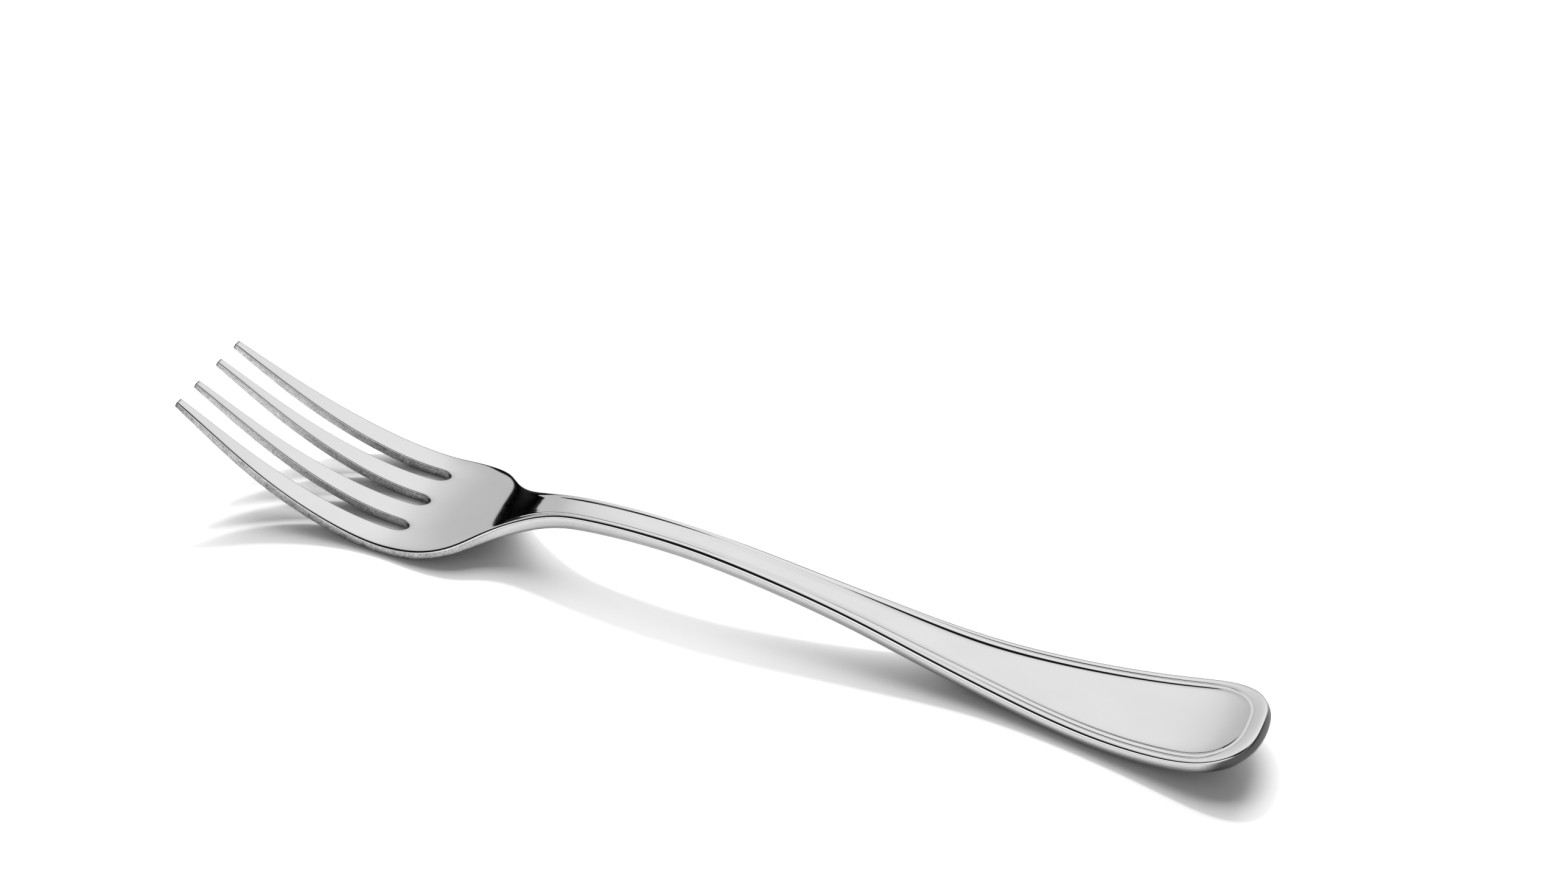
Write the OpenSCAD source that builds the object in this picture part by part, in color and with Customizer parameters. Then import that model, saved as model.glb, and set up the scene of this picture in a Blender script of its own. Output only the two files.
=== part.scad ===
// Four-tine table fork, stamped and forged from one bar of stainless steel.
// It lies on its back: the tines curve up from the belly of the head, the
// neck climbs to an arch, and the handle comes down to a second resting
// place before its broad end lifts a little. X runs from the tips to the
// handle end, Y across the tines, Z up from the table.

/* [Lengths] */
// Tips to the neck, along the table
head_len = 76.6; // [66:0.1:90]
// Neck to the handle end, along the table
handle_len = 122.7; // [100:0.1:150]
// Tips to the ends of the slots
tine_len = 45.1; // [38:0.1:50]
// Slot ends back to the lowest place of the belly
belly_run = 3; // [1:0.25:6]
// Neck to the top of the arch
arch_run = 14; // [8:0.5:24]
// Even part of the stem behind the neck
stem_run = 23; // [10:0.5:32]
// Handle end back to its resting place
rest_run = 29; // [20:0.5:36]
// Length of the rounded handle end
round_run = 12.1; // [9:0.1:15]

/* [Widths] */
// Width of the head where the slots end
head_w = 27; // [24:0.2:30]
// Width over the four tips
tips_w = 20.3; // [17:0.1:23]
// Width of the neck and stem
neck_w = 6.3; // [4.6:0.1:7.5]
// Greatest width of the handle
end_w = 20.2; // [15:0.1:24]
// Width of each slot near its end
slot_w = 2.6; // [1.8:0.05:3.2]
// Middle of the head to the outer edge of the outer slots
slot_reach = 8.6; // [7.8:0.05:9.2]
// Width of an outer tine at its tip
outer_tip_w = 1.8; // [1.3:0.05:2.4]
// Width of an inner tine at its tip
inner_tip_w = 1.5; // [1.1:0.05:2]
// Gap between the two inner tips
middle_gap = 5.4; // [4:0.1:6]

/* [Heights] */
// Table to the top of the tips
tip_rise = 18.9; // [12:0.1:24]
// Table to the top of the arch
arch_rise = 12.75; // [9:0.05:17]
// Table to the top of the handle end
end_rise = 8.4; // [5:0.1:11]

/* [Thickness] */
// Tips of the tines
tip_t = 1.35; // [1.1:0.05:1.7]
// Head and tines
head_t = 2.1; // [1.7:0.05:2.6]
// Stem at its thickest
stem_t = 3.1; // [2.5:0.05:3.8]
// Broad end of the handle
end_t = 2.9; // [2.2:0.05:3.5]
// How far the back of the handle is crowned across its width
back_crown = 0.25; // [0:0.05:0.5]

/* [Border] */
// Outer rim of the border along the handle
rim_w = 1.15; // [0.9:0.05:1.5]
// Outer rim round the handle end
end_rim_w = 2.15; // [1.4:0.05:2.8]
// Fine thread inside the rim, along the handle
thread_w = 0.85; // [0.6:0.05:1.1]
// Fine thread round the handle end
end_thread_w = 0.45; // [0.35:0.05:0.8]
// Width of each side of the valley between rim and thread
valley_run = 0.16; // [0.1:0.02:0.22]
// Depth of that valley
valley_d = 0.12; // [0.06:0.01:0.2]
// Depth of the panel inside the border
panel_d = 0.24; // [0.1:0.02:0.4]
// Extra hollow in the middle of the panel
panel_dish = 0.16; // [0:0.02:0.3]

/* [Edges] */
// Rounding of the upper edges of the head
edge_r = 0.35; // [0.2:0.05:0.5]
// Rounding of the upper edges of the handle
handle_edge_r = 0.55; // [0.3:0.05:0.65]
// Rounding of the under edges of the head
head_under_r = 0.5; // [0.3:0.05:0.7]
// Rounding of the under edges of the handle
handle_under_r = 0.85; // [0.4:0.05:1]
// Rounding of the edges along the slots
slot_r = 0.18; // [0.1:0.02:0.25]
// Rounding round the end face of each tip
tip_r = 0.28; // [0.1:0.02:0.35]

/* [Hidden] */
steel = "silver";

// Steps of the mesh: along the tines, the shoulders and the handle, round
// a slot end and round the handle end, and across each tine
tine_steps = 13;
shoulder_steps = 19;
handle_steps = 32;
slot_end_steps = 7;
round_steps = 22;
tine_cols = 4;
half_cols = 2 * tine_cols;

// Places along the fork, from the tips
fork_len = head_len + handle_len;
belly_x = tine_len - belly_run;
arch_x = head_len + arch_run;
stem_x = head_len + stem_run;
rest_x = fork_len - rest_run;
round_x = fork_len - round_run;
slot_bend_x = tine_len - slot_w / 2;

// Places that stay with their neighbours, as shares of the run between them
tip_taper_share = 0.27;
line_share = 0.28;
border_start_share = 0.82;
border_full_share = 0.35;
panel_full_share = 0.6;
arc_share = 1 - sqrt(1 / 2);
stem_border_share = 0.78;
stem_panel_share = 0.3;
end_line_share = 0.5;
end_step_share = 0.55;
round_power = 2.7;

// Side view of the top face: shares of the run, shares of the height
tine_rise_shares = [[0, 1], [0.3, 0.535], [0.6, 0.186], [0.8, 0.048]];
neck_rise_shares = [[0, 0], [0.13, 0.065], [0.26, 0.21], [0.38, 0.39],
    [0.5, 0.625], [0.63, 0.83], [0.76, 0.935]];
handle_fall_shares = [[0, 1], [0.2, 0.905], [0.4, 0.67], [0.6, 0.365],
    [0.8, 0.1], [0.92, 0.015]];
end_lift_shares = [[0, 0], [0.36, 0.115], [0.57, 0.295], [0.78, 0.575], [1, 1]];

// Plan view of the outer edge, in the same way
tine_side_shares = [[0, 0], [0.34, 0.5], [0.67, 0.85]];
shoulder_shares = [[0, 1], [0.15, 0.965], [0.27, 0.885], [0.37, 0.725],
    [0.46, 0.51], [0.57, 0.29], [0.69, 0.12], [0.84, 0.025], [1, 0]];
handle_side_shares = [[0, 0], [0.18, 0.035], [0.34, 0.12], [0.5, 0.27],
    [0.65, 0.475], [0.79, 0.715], [0.9, 0.89], [1, 1]];
// How the slots close from the tips to their ends
slot_taper_shares = [[0, 0], [0.14, 0.17], [0.4, 0.41], [0.67, 0.75],
    [0.82, 0.93], [1, 1]];

// A table of shares laid out from x0 over a run, from height z0 to z1
function lay(shares, x0, run, z0, z1) =
    [for (s = shares) [x0 + run * s[0], z0 + (z1 - z0) * s[1]]];

top_line = concat(
    lay(tine_rise_shares, 0, belly_x, head_t, tip_rise),
    lay(neck_rise_shares, belly_x, arch_x - belly_x, head_t, arch_rise),
    lay(handle_fall_shares, arch_x, rest_x - arch_x, end_t, arch_rise),
    lay(end_lift_shares, rest_x, rest_run, end_t, end_rise));

side_line = concat(
    lay(tine_side_shares, 0, tine_len, tips_w / 2, head_w / 2),
    lay(shoulder_shares, tine_len, head_len - tine_len, neck_w / 2, head_w / 2),
    lay(handle_side_shares, stem_x, round_x - stem_x, neck_w / 2, end_w / 2));

// A smooth line through a table of points, without overshoot
function rise_over_run(p, i) = (p[i + 1][1] - p[i][1]) / (p[i + 1][0] - p[i][0]);
function slope_of(p, i) =
    i == 0 ? rise_over_run(p, 0)
    : i == len(p) - 1 ? rise_over_run(p, i - 1)
    : let (a = rise_over_run(p, i - 1), b = rise_over_run(p, i))
        a * b <= 0 ? 0 : 2 * a * b / (a + b);
function part_of(p, x, i = 0) = i >= len(p) - 2 || x < p[i + 1][0] ? i : part_of(p, x, i + 1);
function share_of(p, i, x) = max(0, min(1, (x - p[i][0]) / (p[i + 1][0] - p[i][0])));
function along(p, x) =
    let (i = part_of(p, x), s = share_of(p, i, x), h = p[i + 1][0] - p[i][0])
    (1 + 2 * s) * (1 - s) ^ 2 * p[i][1] + s * (1 - s) ^ 2 * h * slope_of(p, i)
    + s ^ 2 * (3 - 2 * s) * p[i + 1][1] + s ^ 2 * (s - 1) * h * slope_of(p, i + 1);
function slope_along(p, x) =
    let (i = part_of(p, x), s = share_of(p, i, x), h = p[i + 1][0] - p[i][0])
    6 * s * (1 - s) * (p[i + 1][1] - p[i][1]) / h
    + (1 - s) * (1 - 3 * s) * slope_of(p, i) + s * (3 * s - 2) * slope_of(p, i + 1);

// An even turn from 0 to 1 between two places
function ease(a, b, x) = let (s = max(0, min(1, (x - a) / (b - a)))) s * s * (3 - 2 * s);
function mix(a, b, s) = a + (b - a) * s;

// A point of the blank, at a depth under the top face and square to it
function at(x, y, depth) =
    let (m = slope_along(top_line, x), run = sqrt(1 + m * m))
    [x + m / run * depth, y, along(top_line, x) - depth / run];

function thickness(x) =
    mix(mix(mix(tip_t, head_t, ease(0, tine_len * tip_taper_share, x)), stem_t,
        ease(mix(tine_len, head_len, line_share), head_len, x)), end_t, ease(stem_x, rest_x, x));
function top_r(x) = mix(edge_r, handle_edge_r, ease(tine_len, head_len, x));
function under_r(x) = mix(head_under_r, handle_under_r, ease(tine_len, head_len, x));
function crown(x) = back_crown * ease(head_len, stem_x, x);

// Rings of points round a section, each point as a place across and a depth
function edge_rows(y, side, open, r_top, r_under, deep) = [
    [y - side * open * r_top * arc_share, r_top * arc_share],
    [y, r_top],
    [y, deep - r_under],
    [y - side * open * r_under * arc_share, deep - r_under * arc_share]];
function turned(list) = [for (i = [len(list) - 1:-1:0]) list[i]];

// Tines
function slot_open(x) = x <= slot_bend_x ? 1 : x >= tine_len ? 0
    : sqrt(1 - ((x - slot_bend_x) / (tine_len - slot_bend_x)) ^ 2);
function slot_close(x) = along(slot_taper_shares, x / tine_len);
function outer_slot_far(x) = mix(tips_w / 2 - outer_tip_w, slot_reach, slot_close(x));
function outer_slot_near(x) = mix(middle_gap / 2 + inner_tip_w, slot_reach - slot_w, slot_close(x));
function slot_middle(x) = (outer_slot_far(x) + outer_slot_near(x)) / 2;
function slot_half(x) = (outer_slot_far(x) - outer_slot_near(x)) / 2 * slot_open(x);
function middle_half(x) = mix(middle_gap, slot_w, slot_close(x)) / 2 * slot_open(x);

function tine_edges(k, x) =
    k == 0 ? [-along(side_line, x), -slot_middle(x) - slot_half(x)]
    : k == 1 ? [-slot_middle(x) + slot_half(x), -middle_half(x)]
    : k == 2 ? [middle_half(x), slot_middle(x) - slot_half(x)]
    : [slot_middle(x) + slot_half(x), along(side_line, x)];

function tine_ring(k, x, nose) =
    let (e = tine_edges(k, x), deep = thickness(x), open = slot_open(x),
        left_r = k == 0 ? edge_r : slot_r * open, right_r = k == 3 ? edge_r : slot_r * open,
        left_u = k == 0 ? under_r(x) : 2 * slot_r * open,
        right_u = k == 3 ? under_r(x) : 2 * slot_r * open,
        ring = concat(
            [for (j = [0:tine_cols]) [mix(e[0] + left_r, e[1] - right_r, j / tine_cols), 0]],
            edge_rows(e[1], 1, k == 3 ? 1 : open, k == 3 ? edge_r : slot_r,
                k == 3 ? under_r(x) : 2 * slot_r, deep),
            [for (j = [tine_cols:-1:0]) [mix(e[0] + left_u, e[1] - right_u, j / tine_cols), deep]],
            turned(edge_rows(e[0], -1, k == 0 ? 1 : open, k == 0 ? edge_r : slot_r,
                k == 0 ? under_r(x) : 2 * slot_r, deep))),
        middle = (e[0] + e[1]) / 2, wide = (e[1] - e[0]) / 2)
    [for (p = ring) at(x, middle + (p[0] - middle) * (wide - nose) / wide,
        deep / 2 + (p[1] - deep / 2) * (deep / 2 - nose) / (deep / 2))];

tine_xs = concat(
    [[0, tip_r], [tip_r * arc_share, tip_r * arc_share], [tip_r, 0]],
    [for (i = [1:tine_steps]) [mix(tip_r, slot_bend_x, i / tine_steps), 0]],
    [for (i = [1:slot_end_steps])
        [mix(slot_bend_x, tine_len, sin(90 * i / slot_end_steps)), 0]]);

// Border: insets from the edge of the eight places across half the handle
function border_insets(half, r, rim, thread) =
    let (full = rim + thread + valley_run, s = min(1, stem_border_share * half / full))
    [r, mix(r, (rim - valley_run) * s, 0.5), (rim - valley_run) * s, rim * s,
        (rim + valley_run) * s, (rim + thread) * s, full * s, (full * s + half) / 2, half];
function border_depths(line, panel, step) =
    let (foot = panel_d * panel * step, middle = (panel_d + panel_dish) * panel)
    [0, 0, 0, valley_d * line, 0, 0, foot, mix(foot, middle, 3 / 4), middle];
function line_depth(x) =
    ease(mix(tine_len, head_len, border_start_share), mix(head_len, stem_x, border_full_share), x);
function panel_depth(x) = line_depth(x)
    * mix(stem_panel_share, 1, ease(stem_x, mix(stem_x, round_x, panel_full_share), x));

// Place of column j across half the fork, before and past the neck
function head_col(j, x, half, inset) =
    let (line = slot_middle(tine_len) * half / (head_w / 2))
    j <= tine_cols ? mix(half - inset, line, j / tine_cols)
    : mix(line, 0, j / tine_cols - 1);
function col(j, x, inset) =
    let (half = along(side_line, x), r = top_r(x),
        border = half - border_insets(half, r, rim_w, thread_w)[j])
    mix(head_col(j, x, half, inset), border * (half - inset) / (half - r),
        ease(tine_len, head_len, x));

function body_ring(x) =
    let (half = along(side_line, x), deep = thickness(x), r = under_r(x), c = crown(x),
        depths = border_depths(line_depth(x), panel_depth(x), 1),
        top = [for (j = [0:half_cols]) [col(j, x, top_r(x)), depths[j]]],
        under = [for (j = [0:half_cols]) let (y = col(j, x, r)) [y, deep - c * (y / half) ^ 2]],
        rows = edge_rows(half, 1, 1, top_r(x), r, under[0][1]),
        half_ring = concat(turned(top), rows, under),
        other = turned([for (i = [1:len(half_ring) - 2]) [-half_ring[i][0], half_ring[i][1]]]))
    [for (p = concat(half_ring, other)) at(x, p[0], p[1])];

body_xs = concat(
    [for (i = [0:shoulder_steps - 1]) mix(tine_len, head_len, i / shoulder_steps)],
    [for (i = [0:handle_steps]) mix(head_len, round_x, i / handle_steps)]);

// Rounded handle end: half sections fanned round its middle
function round_reach(a) =
    ((abs(cos(a)) / round_run) ^ round_power + (abs(sin(a)) / (end_w / 2)) ^ round_power)
        ^ (-1 / round_power);
function round_ring(a) =
    let (half = round_reach(a), turn = ease(70, 30, abs(a)), r = handle_under_r,
        insets = border_insets(half, handle_edge_r, mix(rim_w, end_rim_w, turn),
            mix(thread_w, end_thread_w, turn)),
        depths = border_depths(mix(1, end_line_share, turn), 1, mix(1, end_step_share, turn)),
        top = [for (j = [0:half_cols]) [half - insets[j], depths[j]]],
        under = [for (j = [0:half_cols])
            let (y = (half - insets[j]) * (half - r) / (half - handle_edge_r)) [y, y / half]],
        deep = thickness(round_x) - crown(round_x) * under[0][1] ^ 2,
        rows = edge_rows(half, 1, 1, handle_edge_r, r, deep))
    [for (p = concat(turned(top), rows, [for (u = under)
        [u[0], thickness(round_x) - crown(round_x) * u[1] ^ 2]]))
        at(round_x + p[0] * cos(a), p[0] * sin(a), p[1])];

// All rings one after another, and the skin between them
tine_rings = [for (k = [0:3]) [for (s = tine_xs) tine_ring(k, s[0], s[1])]];
body_rings = [for (x = body_xs) body_ring(x)];
round_rings = [for (i = [0:round_steps]) round_ring(mix(90, -90, i / round_steps))];

function flat(lists) = [for (l = lists) each l];
function ring_skin(first, n, a, b) = [for (i = [0:n - 1])
    each [[first + a * n + i, first + a * n + (i + 1) % n, first + b * n + i],
        [first + a * n + (i + 1) % n, first + b * n + (i + 1) % n, first + b * n + i]]];
function tip_skin(first, c) = [for (t = concat(
    [for (i = [1:4]) [c, c + i, c + i + 1]],
    [for (i = [5:8]) [0, 2 * c + i, 2 * c + i + 1]],
    [for (j = [0:c - 1]) each [[j, j + 1, 2 * c + 4 - j], [j, 2 * c + 4 - j, 2 * c + 5 - j]]]))
    [first + t[0], first + t[2], first + t[1]]];
function fan_skin(first, n, a, b) = [for (i = [0:n - 2])
    each concat(
        i == 0 ? [] : [[first + a * n + i, first + a * n + i + 1, first + b * n + i]],
        i == n - 2 ? [] : [[first + a * n + i + 1, first + b * n + i + 1, first + b * n + i]])];

tine_n = len(tine_rings[0][0]);
tine_count = len(tine_xs) * tine_n;
body_n = len(body_rings[0]);
body_first = 4 * tine_count;
round_n = len(round_rings[0]);
round_first = body_first + len(body_rings) * body_n;

points = concat(flat([for (t = tine_rings) flat(t)]), flat(body_rings), flat(round_rings));
faces = concat(
    [for (k = [0:3]) each concat(tip_skin(k * tine_count, tine_cols),
        flat([for (a = [0:len(tine_xs) - 2]) ring_skin(k * tine_count, tine_n, a, a + 1)]))],
    flat([for (a = [0:len(body_rings) - 2]) ring_skin(body_first, body_n, a, a + 1)]),
    flat([for (a = [0:round_steps - 1]) fan_skin(round_first, round_n, a, a + 1)]));

middle_x = (min([for (p = points) p[0]]) + max([for (p = points) p[0]])) / 2;
low_z = min([for (p = points) p[2]]);

module fork() {
    color(steel)
        translate([-middle_x, 0, -low_z])
            polyhedron(points = points, faces = faces, convexity = 8);
}

fork();
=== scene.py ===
import math

import bpy
from mathutils import Matrix, Vector


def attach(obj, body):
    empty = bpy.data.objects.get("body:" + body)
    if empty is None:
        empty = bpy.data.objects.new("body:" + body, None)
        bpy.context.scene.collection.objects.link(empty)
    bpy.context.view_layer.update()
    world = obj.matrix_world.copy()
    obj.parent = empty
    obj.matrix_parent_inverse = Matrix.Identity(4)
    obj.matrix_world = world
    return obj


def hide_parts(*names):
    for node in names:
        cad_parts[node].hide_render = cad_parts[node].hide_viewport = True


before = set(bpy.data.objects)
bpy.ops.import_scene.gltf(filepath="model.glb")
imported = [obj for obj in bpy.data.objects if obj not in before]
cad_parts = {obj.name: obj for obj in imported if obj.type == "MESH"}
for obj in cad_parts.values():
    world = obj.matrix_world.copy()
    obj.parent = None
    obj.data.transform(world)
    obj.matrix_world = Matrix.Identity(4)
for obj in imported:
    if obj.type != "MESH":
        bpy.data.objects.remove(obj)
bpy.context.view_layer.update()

# Fork: one piece of stainless steel. It is blanked from rolled bar, its three
# slots are punched out, and it is stamped with its thread border and bent to
# shape. Its faces and edges are then polished, and its cut walls stay satin.
mm = 0.001
# Along the fork to the frame's origin, which is under the middle of its length
tips_to_middle = 98.9 * mm

# Rows across the fork: distance from the tips, rise of the top, half width. They
# lie a little outside the real shape, because the smoothing that comes last
# draws this coarse sheet in. The fork's sizes are in millimetres, and become
# metres where a point is placed.
rows = [
    (0, 18.50, 10.04), (5, 15.36, 10.59), (11, 11.65, 11.30), (17, 8.36, 11.95),
    (23, 5.75, 12.47), (29, 3.75, 12.86), (35, 2.44, 13.22), (40, 2.06, 13.46),
    (42.9, 2.16, 13.46), (47, 2.64, 13.45), (51, 3.47, 13.10), (55, 4.60, 12.16),
    (58.5, 5.62, 9.50), (62, 7.06, 6.86), (65.5, 8.66, 5.08), (69, 10.19, 3.88),
    (73, 11.45, 3.22), (77, 12.08, 3.15), (82, 12.54, 3.12), (88, 12.79, 3.13),
    (94, 12.73, 3.12), (100, 12.44, 3.14), (107, 11.73, 3.25), (114, 10.76, 3.38),
    (121, 9.66, 3.58), (128, 8.46, 3.92), (135, 7.08, 4.43), (142, 5.66, 5.04),
    (149, 4.46, 5.71), (156, 3.60, 6.56), (163, 3.05, 7.57), (170, 2.86, 8.54),
    (176, 3.12, 9.26), (181, 3.62, 9.72), (186, 4.46, 10.09),
]
# Points round half of the handle end, from its side to its middle, seen from
# above, and how the top rises there
end_points = [
    (189.7, 10.04), (192.2, 9.58), (194.5, 8.62), (196.35, 7.24), (197.85, 4.88),
    (198.35, 2.45), (198.4, 0),
]
end_rises = [(191, 5.70), (195, 6.99), (198.4, 8.36), (200, 9.10)]
top_line = [(x, rise) for x, rise, _ in rows] + end_rises
half_line = [(x, half) for x, _, half in rows]
end_centre = rows[-1][0]

# Each point of the sheet has a station, which is its row or its end point, and a
# ring, counted from the fork's middle line to its edge
side_rows = len(rows)
corner = side_rows + 2
tips_row, slot_end_row = 0, 8
middle_line, inner_wall, tine_middle, near_wall = range(4)
panel_foot, step_top, valley_inner, valley, valley_outer, edge = range(4, 10)
outer_slot, far_wall = panel_foot, step_top

# Walls of the slots, from the tips to where the slots end: distance from the
# middle line, for the middle slot and both walls of the outer ones. At the slots'
# last row their middles reach further, which rounds their ends, and the tips reach
# out past the first row, because smoothing draws them in.
slots_reach = 43
slot_middle = [(0, 2.7), (12, 2.27), (30, 1.62), (slots_reach, 1.32)]
slot_near = [(0, 4.2), (12, 4.75), (30, 5.6), (slots_reach, 6.0)]
slot_far = [(0, 8.35), (12, 8.42), (30, 8.55), (slots_reach, 8.62)]
slot_round = {middle_line: 1.55, outer_slot: 1.55, tine_middle: 0.2}
tip_spare = 0.6
# Rings across the outer tines lie at these shares of the way to the lip inside
# their edge. Where the head gets narrower than this, all its rings draw together.
tine_shares, lip_w, lip_share = (0.4, 0.75), 0.8, 0.3
head_half = 13.4

# The thread border: a rim, a thread inside it, and a step down to the panel. Each
# ring lies in from the edge by so many rims, threads and half grooves. The border
# keeps to its share of the half width where the fork is narrow.
rim_w, thread_w, half_groove = 1.45, 0.92, 0.16
end_rim_w, end_thread_w = 2.3, 0.5
inset_shares = {edge: (0, 0, 0), valley_outer: (1, 0, -1), valley: (1, 0, 0),
                valley_inner: (1, 0, 1), step_top: (1, 1, 0), panel_foot: (1, 1, 1)}
border_share = 0.43
# The panel's rings lie at shares of the way to its foot, and bulge at its round
# end. The border's places take over from the tines' along a stretch of the fork,
# and the rim widens over these degrees of a turn round the handle end.
panel_shares, panel_bulges = (0, 0.25, 0.5, 0.78, 1), (0.7, 1.9, 0)
border_runs_in, end_turn = (47, 73), (30, 70)


def ease(start, stop, value):
    share = max(0.0, min(1.0, (value - start) / (stop - start)))
    return share * share * (3 - 2 * share)


def mix(a, b, share):
    return a + (b - a) * share


def slope_at(table, i):
    if i == 0 or i == len(table) - 1:
        a, b = (0, 1) if i == 0 else (i - 1, i)
        return (table[b][1] - table[a][1]) / (table[b][0] - table[a][0])
    before = (table[i][1] - table[i - 1][1]) / (table[i][0] - table[i - 1][0])
    after = (table[i + 1][1] - table[i][1]) / (table[i + 1][0] - table[i][0])
    lead = table[i][0] - table[i - 1][0]
    trail = table[i + 1][0] - table[i][0]
    return (before * trail + after * lead) / (lead + trail)


def follow(table, x):
    """Height and slope at x of a smooth line through a table of points."""
    i = 0
    while i < len(table) - 2 and x > table[i + 1][0]:
        i += 1
    (x0, y0), (x1, y1) = table[i], table[i + 1]
    h = x1 - x0
    s = (x - x0) / h
    m0, m1 = slope_at(table, i) * h, slope_at(table, i + 1) * h
    value = ((2 * s - 3) * s * s + 1) * y0 + ((s - 2) * s + 1) * s * m0
    value += (3 - 2 * s) * s * s * y1 + (s - 1) * s * s * m1
    slope = 6 * s * (s - 1) * (y0 - y1) + ((3 * s - 4) * s + 1) * m0
    slope += (3 * s - 2) * s * m1
    return value, slope / h


def inset(ring, rim, thread):
    rims, threads, grooves = inset_shares[ring]
    return rims * rim + threads * thread + grooves * half_groove


def in_head(x, half, ring):
    """How far across a ring lies where the tines are cut."""
    x = min(x, slots_reach)
    middle, near, far = (follow(wall, x)[0] for wall in (slot_middle, slot_near, slot_far))
    lip = half - min(lip_w, lip_share * (half - far))
    return (0, middle, (middle + near) / 2, near, (near + far) / 2, far,
            mix(far, lip, tine_shares[0]), mix(far, lip, tine_shares[1]), lip, half)[ring]


def in_border(half, ring):
    """How far across a ring lies where the border is stamped."""
    full = inset(panel_foot, rim_w, thread_w)
    squeeze = min(1, border_share * half / full)
    if ring <= panel_foot:
        return (half - full * squeeze) * panel_shares[ring]
    return half - inset(ring, rim_w, thread_w) * squeeze


def plan(station, ring):
    """Place of a point of the sheet seen from above: along and across."""
    if station < side_rows:
        x, _, half = rows[station]
        y = in_head(x, half, ring)
        if x > border_runs_in[0]:
            y = y * half / max(half, head_half)
        y = mix(y, in_border(half, ring), ease(*border_runs_in, x))
        if station == tips_row:
            x -= tip_spare
        if station == slot_end_row:
            x += slot_round.get(ring, 0)
        return x, y
    if station <= corner and ring < panel_foot:
        side_x, side_y = plan(station, panel_foot)
        share = panel_shares[ring]
        bulge = panel_bulges[station - side_rows]
        return side_x + bulge * (1 - share * share), side_y * share
    x, y = end_points[station - side_rows]
    turn = math.degrees(math.atan2(y, x - end_centre))
    round_share = 1 - ease(*end_turn, turn)
    rim = mix(rim_w, end_rim_w, round_share)
    thread = mix(thread_w, end_thread_w, round_share)
    reach = math.hypot(x - end_centre, y)
    keep = (reach - inset(ring, rim, thread)) / reach
    return mix(end_centre, x, keep), y * keep


# A size that changes along the fork is its value at the tips, and then each
# stretch over which it changes, with its value past that. The panel and border
# are pressed into the top, and have their own depths round the handle end.
blank_thickness = (1.2, ((-4, 12), 2.12), ((53, 76), 3.1), ((99, 170), 2.86))
back_crown, back_crown_in = 0.25, (76, 99)
border_starts, handle_starts = (62, 76), (108, 150)
panel_depth, end_panel_depth = (0.30, (handle_starts, 0.55)), 0.3
foot_depth, end_foot_depth = (0.24, ((80, 108), 0.06), ((115, 160), 0.29)), 0.07
groove_depth, end_groove_depth = (0.03, ((122, 165), 0.21)), 0.05
end_panel_haste = 1.4
# How far each ring of the panel has gone from the middle's depth to the foot's
stem_hollow, handle_hollow = (0, 0.04, 0.2, 0.78), (0, 0.01, 0.1, 0.42)
# The neck is crowned across, and polishing rolls off the rims of the shoulders
neck_crown_radius, crown_begins, crown_ends = 240, (45, 58), (66, 80)
rim_roll, rim_roll_power, roll_begins, roll_ends = 0.55, 8, (22, 46), (52, 61)


def along(x, size, *changes):
    """A size at a distance from the tips."""
    for stretch, next_size in changes:
        size = mix(size, next_size, ease(*stretch, x))
    return size


def top_depth(station, ring, x):
    """Depth of the pressed border and panel under the blank's top."""
    fade = ease(*border_starts, x)
    on_round = ease(side_rows - 1, corner + 2, station)
    if ring == valley:
        return mix(along(x, *groove_depth), end_groove_depth, on_round) * fade
    if ring > panel_foot:
        return 0
    foot = mix(along(x, *foot_depth), end_foot_depth, on_round) * fade
    if ring == panel_foot:
        return foot
    on_end = min(1, end_panel_haste * on_round)
    middle = mix(along(x, *panel_depth), end_panel_depth, on_end) * fade
    on_handle = ease(*handle_starts, x)
    return mix(middle, foot, mix(stem_hollow[ring], handle_hollow[ring], on_handle))


def rolled_off(station, x, y):
    """How far the top falls off towards its edges."""
    crown = ease(*crown_begins, x) * (1 - ease(*crown_ends, x))
    roll = ease(*roll_begins, x) * (1 - ease(*roll_ends, x)) if station < side_rows else 0
    across = y / max(plan(station, edge)[1], 1)
    return crown * y * y / (2 * neck_crown_radius) + rim_roll * roll * across ** rim_roll_power


def on_blank(x, y, depth):
    """A point so deep under the bent top, and square to it."""
    rise, slope = follow(top_line, x)
    run = math.hypot(1, slope)
    point = Vector((x + slope / run * depth, y, rise - depth / run)) * mm
    return point - Vector((tips_to_middle, 0, 0))


bpy.ops.object.select_all(action="DESELECT")
bpy.ops.mesh.primitive_grid_add(x_subdivisions=corner, y_subdivisions=2 * panel_foot, size=2)
fork = bpy.context.object
fork.name = "dinner_fork"
mesh = fork.data
for name in ("station", "ring", "side", "under"):
    mesh.attributes.new(name, "INT", "POINT")


def mark(name, index, value):
    mesh.attributes[name].data[index].value = value


def read(name, index):
    return mesh.attributes[name].data[index].value


for v in mesh.vertices:
    row = round((v.co.x + 1) / 2 * corner)
    column = round(v.co.y * panel_foot)
    on_end = row == corner
    mark("station", v.index, corner + panel_foot - abs(column) if on_end else row)
    mark("ring", v.index, panel_foot if on_end else abs(column))
    mark("side", v.index, (column > 0) - (column < 0))


def shape_all():
    for v in mesh.vertices:
        station, ring = read("station", v.index), read("ring", v.index)
        x, y = plan(station, ring)
        if read("under", v.index):
            across = y / max(plan(station, edge)[1], 1)
            crown = back_crown * ease(*back_crown_in, x) * across ** 2
            depth = along(x, *blank_thickness) - crown
        else:
            depth = top_depth(station, ring, x) + rolled_off(station, x, y)
        v.co = on_blank(x, y * read("side", v.index), depth)


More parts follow.
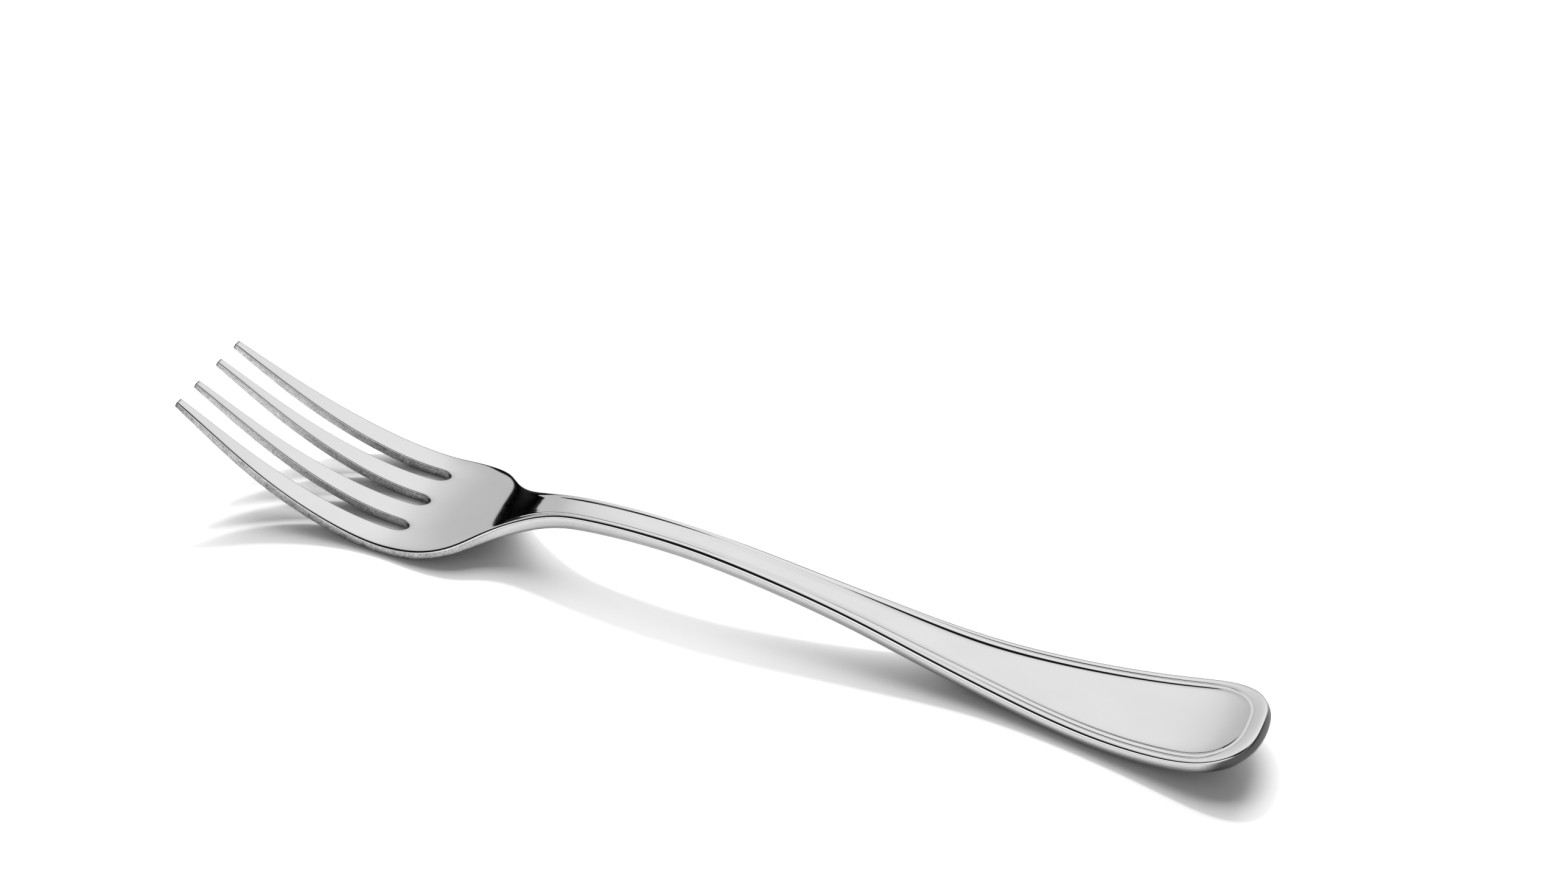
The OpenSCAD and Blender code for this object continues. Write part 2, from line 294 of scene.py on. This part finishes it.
def select_only(kind, wanted):
    """Leaves edit mode on, with just the wanted edges or faces selected."""
    bpy.ops.object.mode_set(mode="OBJECT")
    for items in (mesh.vertices, mesh.edges, mesh.polygons):
        items.foreach_set("select", [False] * len(items))
    for item in mesh.edges if kind == "EDGE" else mesh.polygons:
        item.select = wanted(item)
    bpy.ops.object.mode_set(mode="EDIT")
    bpy.ops.mesh.select_mode(type=kind)


def extrude_as(name, value):
    """Draws the selection out, and marks the new points."""
    bpy.ops.mesh.extrude_region_move()
    bpy.ops.object.mode_set(mode="OBJECT")
    for v in mesh.vertices:
        if v.select:
            mark(name, v.index, value)
    shape_all()


# The border's lines are drawn outwards from the panel's foot, one after another
shape_all()
for ring in (step_top, valley_inner, valley, valley_outer, edge):
    select_only("EDGE", lambda e: all(read("ring", i) == ring - 1 for i in e.vertices))
    extrude_as("ring", ring)


def in_slot(p):
    rings = [read("ring", i) for i in p.vertices]
    if max(read("station", i) for i in p.vertices) > slot_end_row:
        return False
    return max(rings) <= inner_wall or (min(rings) >= near_wall and max(rings) <= far_wall)


# The slots are punched out, and then the sheet gets its thickness
select_only("FACE", in_slot)
bpy.ops.mesh.delete(type="FACE")
select_only("FACE", lambda p: True)
extrude_as("under", 1)
bpy.ops.object.mode_set(mode="EDIT")
bpy.ops.mesh.select_all(action="SELECT")
bpy.ops.mesh.normals_make_consistent(inside=False)
bpy.ops.object.mode_set(mode="OBJECT")

# Radii that grinding and polishing leave on the corners and ends of the tips, on
# the edges of the slots and along the outer edges, above and below
widest_r = 1.1
tine_corners = (inner_wall, near_wall, far_wall, edge)
corner_r, tip_r = 0.3, 0.28
slot_top_r, slot_under_r = 0.38, 0.3
top_r = (0.38, ((0, 20), 0.5), ((50, 76), 0.7), ((118, 150), 1.05), ((165, 193), 0.38))
under_r = (0.26, ((54, 78), 0.85))


def edge_radius(a, b):
    """Radius on the edge from one point to another of the blank's walls."""
    x = plan(read("station", a), read("ring", a))[0]
    points_under = read("under", a) + read("under", b)
    outer = read("ring", a) == edge and read("ring", b) == edge
    at_tip = read("station", a) == read("station", b) == tips_row
    if points_under == 1:
        return corner_r if at_tip and read("ring", a) in tine_corners else 0
    if at_tip:
        return tip_r
    if points_under == 0:
        return along(x, *top_r) if outer else slot_top_r
    return along(x, *under_r) if outer else slot_under_r


wall_edges = set()
for p in mesh.polygons:
    under = [read("under", i) for i in p.vertices]
    if 0 < sum(under) < len(under):
        wall_edges.update(p.edge_keys)
weights = mesh.attributes.new("bevel_weight_edge", "FLOAT", "EDGE")
for e in mesh.edges:
    if e.key in wall_edges:
        weights.data[e.index].value = edge_radius(*e.vertices) / widest_r
rounding = fork.modifiers.new("rounding", "BEVEL")
rounding.limit_method = "WEIGHT"
rounding.width = widest_r * mm
rounding.segments = 2
rounding.use_clamp_overlap = False
bpy.ops.object.modifier_apply(modifier="rounding")
smoothing = fork.modifiers.new("smoothing", "SUBSURF")
smoothing.levels = smoothing.render_levels = 2
bpy.ops.object.modifier_apply(modifier="smoothing")
bpy.ops.object.shade_smooth()

# The polishing wheel reaches the faces and the rounded edges. The walls that the
# punch cut keep their upright marks, most of all between the tines, though the slot
# walls are a little less satin near the tips, which lightens them as painted light.
# The end walls of the handle, the tips and the slot ends are rougher and carry
# painted shade, which darkens their grey. A wall is told by how upright it is on
# the blank, and an end wall by how far it faces the end.
polish_spreads = (48, 62)
satin_starts, satin_full = (0.22, (polish_spreads, 0.5)), (0.45, (polish_spreads, 0.85))
# Slot walls are less satin near the tips, which lightens them there: painted light, and smoother
# walls
slot_satin_and_tip_light, side_satin = (0.8, ((8, 36), 1)), (1, ((50, 66), 0.18))
slots_in_from_edge, slots_before = 1, 50
end_upright, end_facing, end_stretch = (0.45, 0.8), (0.1, 0.4), (180, 192)
tip_facing, tip_stretch = (0, 0.3), (1.5, 4)
slot_facing, slot_end_stretch = (0.25, 0.45), (37, 40)
slot_square_on, slot_square_lighter = (0.7, 0.9), 0.6
finish = mesh.attributes.new("punched_wall", "FLOAT", "POINT")
# Painted shade: a mark that darkens the end walls of the handle, the tips and the slot ends
painted_shade_on_ends = mesh.attributes.new("painted_end_shade", "FLOAT", "POINT")
for v in mesh.vertices:
    x = v.co.x / mm + tips_to_middle / mm
    slope = follow(top_line, x)[1]
    upright = 1 - abs(v.normal.dot(Vector((-slope, 0, 1)).normalized()))
    half = follow(half_line, min(x, end_centre))[0]
    in_slots = abs(v.co.y) / mm < half - slots_in_from_edge and x < slots_before
    satin = ease(along(x, *satin_starts), along(x, *satin_full), upright)
    finish.data[v.index].value = satin * along(x, *(slot_satin_and_tip_light if in_slots else side_satin))
    handle_end = ease(*end_upright, upright) * ease(*end_facing, v.normal.x)
    handle_end *= ease(*end_stretch, x)
    forward = -v.normal.dot(Vector((1, 0, slope)).normalized())
    tip_end = ease(*tip_facing, forward) * (1 - ease(*tip_stretch, x))
    slot_rim = ease(*slot_facing, forward)
    slot_rim *= 1 - slot_square_lighter * ease(*slot_square_on, forward)
    slot_rim *= ease(*slot_end_stretch, x) * in_slots
    painted_shade_on_ends.data[v.index].value = max(handle_end, tip_end, slot_rim)

steel = bpy.data.materials.new("polished_steel")
steel.use_nodes = True
tree = steel.node_tree
shader = tree.nodes["Principled BSDF"]
shader.inputs["Metallic"].default_value = 1
on_piece = tree.nodes.new("ShaderNodeTexCoord").outputs["Object"]


def feed(value, socket):
    """Sets a socket to a number, or links it to another node's output."""
    if isinstance(value, (int, float)):
        socket.default_value = value
    else:
        tree.links.new(value, socket)


def painted(name):
    """What the piece's points carry under this name."""
    node = tree.nodes.new("ShaderNodeAttribute")
    node.attribute_name = name
    return node.outputs["Fac"]


def grain(stretch, detail):
    """Noise over the piece, with so many marks to a millimetre each way."""
    turn = tree.nodes.new("ShaderNodeMapping")
    turn.inputs["Scale"].default_value = [marks / mm for marks in stretch]
    feed(on_piece, turn.inputs["Vector"])
    noise = tree.nodes.new("ShaderNodeTexNoise")
    noise.inputs["Scale"].default_value = 1
    noise.inputs["Detail"].default_value = detail
    feed(turn.outputs["Vector"], noise.inputs["Vector"])
    return noise.outputs["Fac"]


def spread(value, span, to_span, course="LINEAR"):
    """A value from one span, laid over another."""
    node = tree.nodes.new("ShaderNodeMapRange")
    node.interpolation_type = course
    sockets = ("Value", "From Min", "From Max", "To Min", "To Max")
    for name, number in zip(sockets, (value, *span, *to_span)):
        feed(number, node.inputs[name])
    return node.outputs["Result"]


def combine(kind, a, b, c=0):
    node = tree.nodes.new("ShaderNodeMath")
    node.operation = kind
    for socket, value in zip(node.inputs, (a, b, c)):
        feed(value, socket)
    return node.outputs["Value"]


def choose(share, a, b):
    """The first value where the share is 0, and the second where it is 1."""
    node = tree.nodes.new("ShaderNodeMix")
    for name, value in (("Factor", share), ("A", a), ("B", b)):
        feed(value, node.inputs[name])
    return node.outputs["Result"]


def grey(level):
    node = tree.nodes.new("ShaderNodeCombineColor")
    for channel in ("Red", "Green", "Blue"):
        feed(level, node.inputs[channel])
    return node.outputs["Color"]


# Greys and roughness of the polished faces and of the satin walls
noise_span = (0.3, 0.7)
face_grey, face_roughness = (0.655, 0.685), (0.035, 0.075)
wall_grey, mark_greys, blotch_greys = 0.44, (-0.2, 0.2), (-0.1, 0.1)
pit_span, pit_greys = (0.66, 0.72), (0, 0.3)
wall_roughness = (0.28, 0.46)
# Painted shade darkens the end walls by this share, and they are also rougher
end_darker, end_rougher = -0.85, 0.25
mark_height, mark_strength = 0.03 * mm, 0.9

wall, painted_end_shade = painted("punched_wall"), painted("painted_end_shade")
punch_marks = grain((4.6, 4.6, 2.2), detail=3)
blotches = grain((0.45, 0.45, 0.6), detail=4)
pits = grain((2.1, 1.2, 2.6), detail=2)
polish_lines = grain((0.3, 6, 6), detail=3)
wipe = grain((0.08, 0.12, 0.12), detail=3)

marks = combine("ADD", spread(punch_marks, noise_span, mark_greys),
                spread(blotches, noise_span, blotch_greys))
pitted = combine("MULTIPLY", spread(pits, pit_span, pit_greys), wall)
wall_tone = combine("SUBTRACT", combine("ADD", marks, wall_grey), pitted)
tone = choose(wall, spread(wipe, noise_span, face_grey), wall_tone)
# The painted shade on the end walls darkens the tone
end_shade = combine("MULTIPLY_ADD", painted_end_shade, end_darker, 1)
feed(grey(combine("MULTIPLY", tone, end_shade)), shader.inputs["Base Color"])
roughness = choose(wall, spread(polish_lines, noise_span, face_roughness),
                   spread(blotches, noise_span, wall_roughness))
feed(combine("MULTIPLY_ADD", painted_end_shade, end_rougher, roughness), shader.inputs["Roughness"])
relief = tree.nodes.new("ShaderNodeBump")
relief.inputs["Distance"].default_value = mark_height
feed(combine("MULTIPLY", wall, mark_strength), relief.inputs["Strength"])
feed(punch_marks, relief.inputs["Height"])
feed(relief.outputs["Normal"], shader.inputs["Normal"])
mesh.materials.clear()
mesh.materials.append(steel)
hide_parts("fork")
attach(fork, "root")

# Table: a sheet of matt white paper, laid flat under the fork. It carries the
# fork's shadow, and the camera sees it as white. The steel mirrors it a little
# brighter than the light that it gives back.
sheet_side = 2.6
paper_white, camera_lift = 0.8, 0.4
mirror_lift, second_mirror_drop = 0.1, -0.5
bpy.ops.object.select_all(action="DESELECT")
bpy.ops.mesh.primitive_plane_add(size=sheet_side, location=(0, 0, 0))
floor = bpy.context.object
floor.name = "white_table"
paper = bpy.data.materials.new("white_paper")
paper.use_nodes = True
tree = paper.node_tree
shader = tree.nodes["Principled BSDF"]
shader.inputs["Roughness"].default_value = 1
shader.inputs["Specular IOR Level"].default_value = 0
path = tree.nodes.new("ShaderNodeLightPath")
seen = combine("MULTIPLY_ADD", path.outputs["Is Camera Ray"], camera_lift, paper_white)
bounced = combine("MINIMUM", path.outputs["Diffuse Depth"], 1)
lift = combine("MULTIPLY_ADD", bounced, second_mirror_drop, mirror_lift)
in_mirror = combine("MULTIPLY", path.outputs["Is Glossy Ray"], lift)
feed(grey(combine("ADD", in_mirror, seen)), shader.inputs["Base Color"])
floor.data.materials.append(paper)

# Studio: the room that the polished steel mirrors, where the camera sees pale
# grey. Behind the fork are a pale wall and ceiling, a black card low on each side
# and a dark skirting. In front are a grey wall, a window and a black canopy.
wall_level, ceiling_level, front_level, window_level = 0.72, 1.14, 0.7, 1.3
card_level, skirting_level, canopy_level = 0.0, 0.03, 0.008
plain_light, pale_grey = 0.2, (0.8, 0.8, 0.8, 1)
# Soft edges of these, in the direction's parts along the fork, away from the
# camera's side and up, or by how near it is to the ceiling's brightest place
brightest, bright_edge = Vector((-0.1, 0.62, 0.78)).normalized(), (0.70, 0.99)
left_card_top, left_card_side = (0.206, 0.197), (-0.10, -0.22)
right_card_top, right_card_side = (0.6, 0.52), (0.50, 0.56)
skirting_top = (0.15, 0.09)
canopy_foot, canopy_front = (0.38, 0.45), (-0.64, -0.58)
window_sill, window_edge = (0.2, 0.28), (-0.6, -0.68)
front_to_behind = (-0.09, -0.02)
room = bpy.context.scene.world or bpy.data.worlds.new("studio")
bpy.context.scene.world = room
room.use_nodes = True
tree = room.node_tree
tree.nodes.clear()
out = tree.nodes.new("ShaderNodeOutputWorld")
path = tree.nodes.new("ShaderNodeLightPath")
direction = tree.nodes.new("ShaderNodeTexCoord").outputs["Generated"]
towards = tree.nodes.new("ShaderNodeSeparateXYZ")
feed(direction, towards.inputs["Vector"])
aside, away, height = towards.outputs
overhead = tree.nodes.new("ShaderNodeVectorMath")
overhead.operation = "DOT_PRODUCT"
overhead.inputs[1].default_value = brightest
feed(direction, overhead.inputs[0])


def beyond(value, start, stop):
    """From 0 to 1, softly, as a value goes from start to stop."""
    to_span = (0, 1) if start < stop else (1, 0)
    return spread(value, sorted((start, stop)), to_span, course="SMOOTHSTEP")


def either(share, a, b):
    node = tree.nodes.new("ShaderNodeMixShader")
    for socket, value in zip(node.inputs, (share, a, b)):
        feed(value, socket)
    return node.outputs["Shader"]


bright = beyond(overhead.outputs["Value"], *bright_edge)
ceiling = choose(bright, wall_level, ceiling_level)
left_card = combine("MULTIPLY", beyond(height, *left_card_top), beyond(aside, *left_card_side))
right_card = combine("MULTIPLY", beyond(aside, *right_card_side), beyond(height, *right_card_top))
behind = choose(combine("MAXIMUM", left_card, right_card), ceiling, card_level)
behind = choose(beyond(height, *skirting_top), behind, skirting_level)
canopy = combine("MULTIPLY", beyond(away, *canopy_front), beyond(height, *canopy_foot))
window = combine("MULTIPLY", beyond(height, *window_sill), beyond(away, *window_edge))
front = choose(canopy, choose(window, front_level, window_level), canopy_level)
mirrored = tree.nodes.new("ShaderNodeBackground")
feed(choose(beyond(away, *front_to_behind), front, behind), mirrored.inputs["Color"])
plain = tree.nodes.new("ShaderNodeBackground")
plain.inputs["Color"].default_value = (1, 1, 1, 1)
plain.inputs["Strength"].default_value = plain_light
pale = tree.nodes.new("ShaderNodeBackground")
pale.inputs["Color"].default_value = pale_grey
first_bounce = combine("SUBTRACT", 1, combine("MINIMUM", path.outputs["Diffuse Depth"], 1))
in_steel = combine("MULTIPLY", path.outputs["Is Glossy Ray"], first_bounce)
lighting = either(in_steel, plain.outputs["Background"], mirrored.outputs["Background"])
feed(either(path.outputs["Is Camera Ray"], lighting, pale.outputs["Background"]),
     out.inputs["Surface"])


# Lamps: three softboxes above and behind the fork. The small one casts the fork's
# shadows, and the wide ones light the table. The steel doesn't mirror them,
# because the studio holds all that it mirrors.
def softbox(name, towards, away, width, depth, watts):
    """A lamp that faces the fork, so far away along a direction."""
    towards = Vector(towards).normalized()
    bpy.ops.object.light_add(type="AREA", location=towards * away)
    lamp = bpy.context.object
    lamp.name = name
    lamp.data.shape = "RECTANGLE"
    lamp.data.size, lamp.data.size_y = width, depth
    lamp.data.energy = watts
    across = towards.cross(Vector((0, 0, 1))).normalized()
    tall = across.cross(towards).normalized()
    lamp.rotation_mode = "QUATERNION"
    lamp.rotation_quaternion = Matrix((across, -tall, towards)).transposed().to_quaternion()
    lamp.visible_glossy = False


softbox("small_softbox", towards=(-0.58, 0.88, 1), away=2.8, width=0.16, depth=0.16, watts=29)
softbox("top_softbox", towards=(-0.3, 0.6, 1), away=2.1, width=2.1, depth=1.1, watts=27)
softbox("back_softbox", towards=(-0.5, 1.9, 1), away=3.6, width=2.4, depth=2, watts=129)

# Camera: in front of the handle and above it, as in the photo. Its place, its
# turn in radians and its focal length in the photo's pixels come from a fit to
# points along the fork's edges.
camera_place = (0.1537, -0.27345, 0.29749)
yaw, pitch, roll = 0.463, 0.699, -0.044
focal_length_px, photo_width_px = 4079.8, 2576
sensor_w = 36
look = Vector((-math.sin(yaw) * math.cos(pitch), math.cos(yaw) * math.cos(pitch),
               -math.sin(pitch)))
level_right = look.cross(Vector((0, 0, 1))).normalized()
level_up = level_right.cross(look)
right = level_right * math.cos(roll) + level_up * math.sin(roll)
up = level_up * math.cos(roll) - level_right * math.sin(roll)
bpy.ops.object.camera_add(location=camera_place)
camera = bpy.context.object
camera.rotation_mode = "QUATERNION"
camera.rotation_quaternion = Matrix((right, up, -look)).transposed().to_quaternion()
camera.data.sensor_width = sensor_w
camera.data.lens = sensor_w * focal_length_px / photo_width_px
bpy.context.scene.camera = camera
bpy.context.scene.view_settings.view_transform = "Standard"
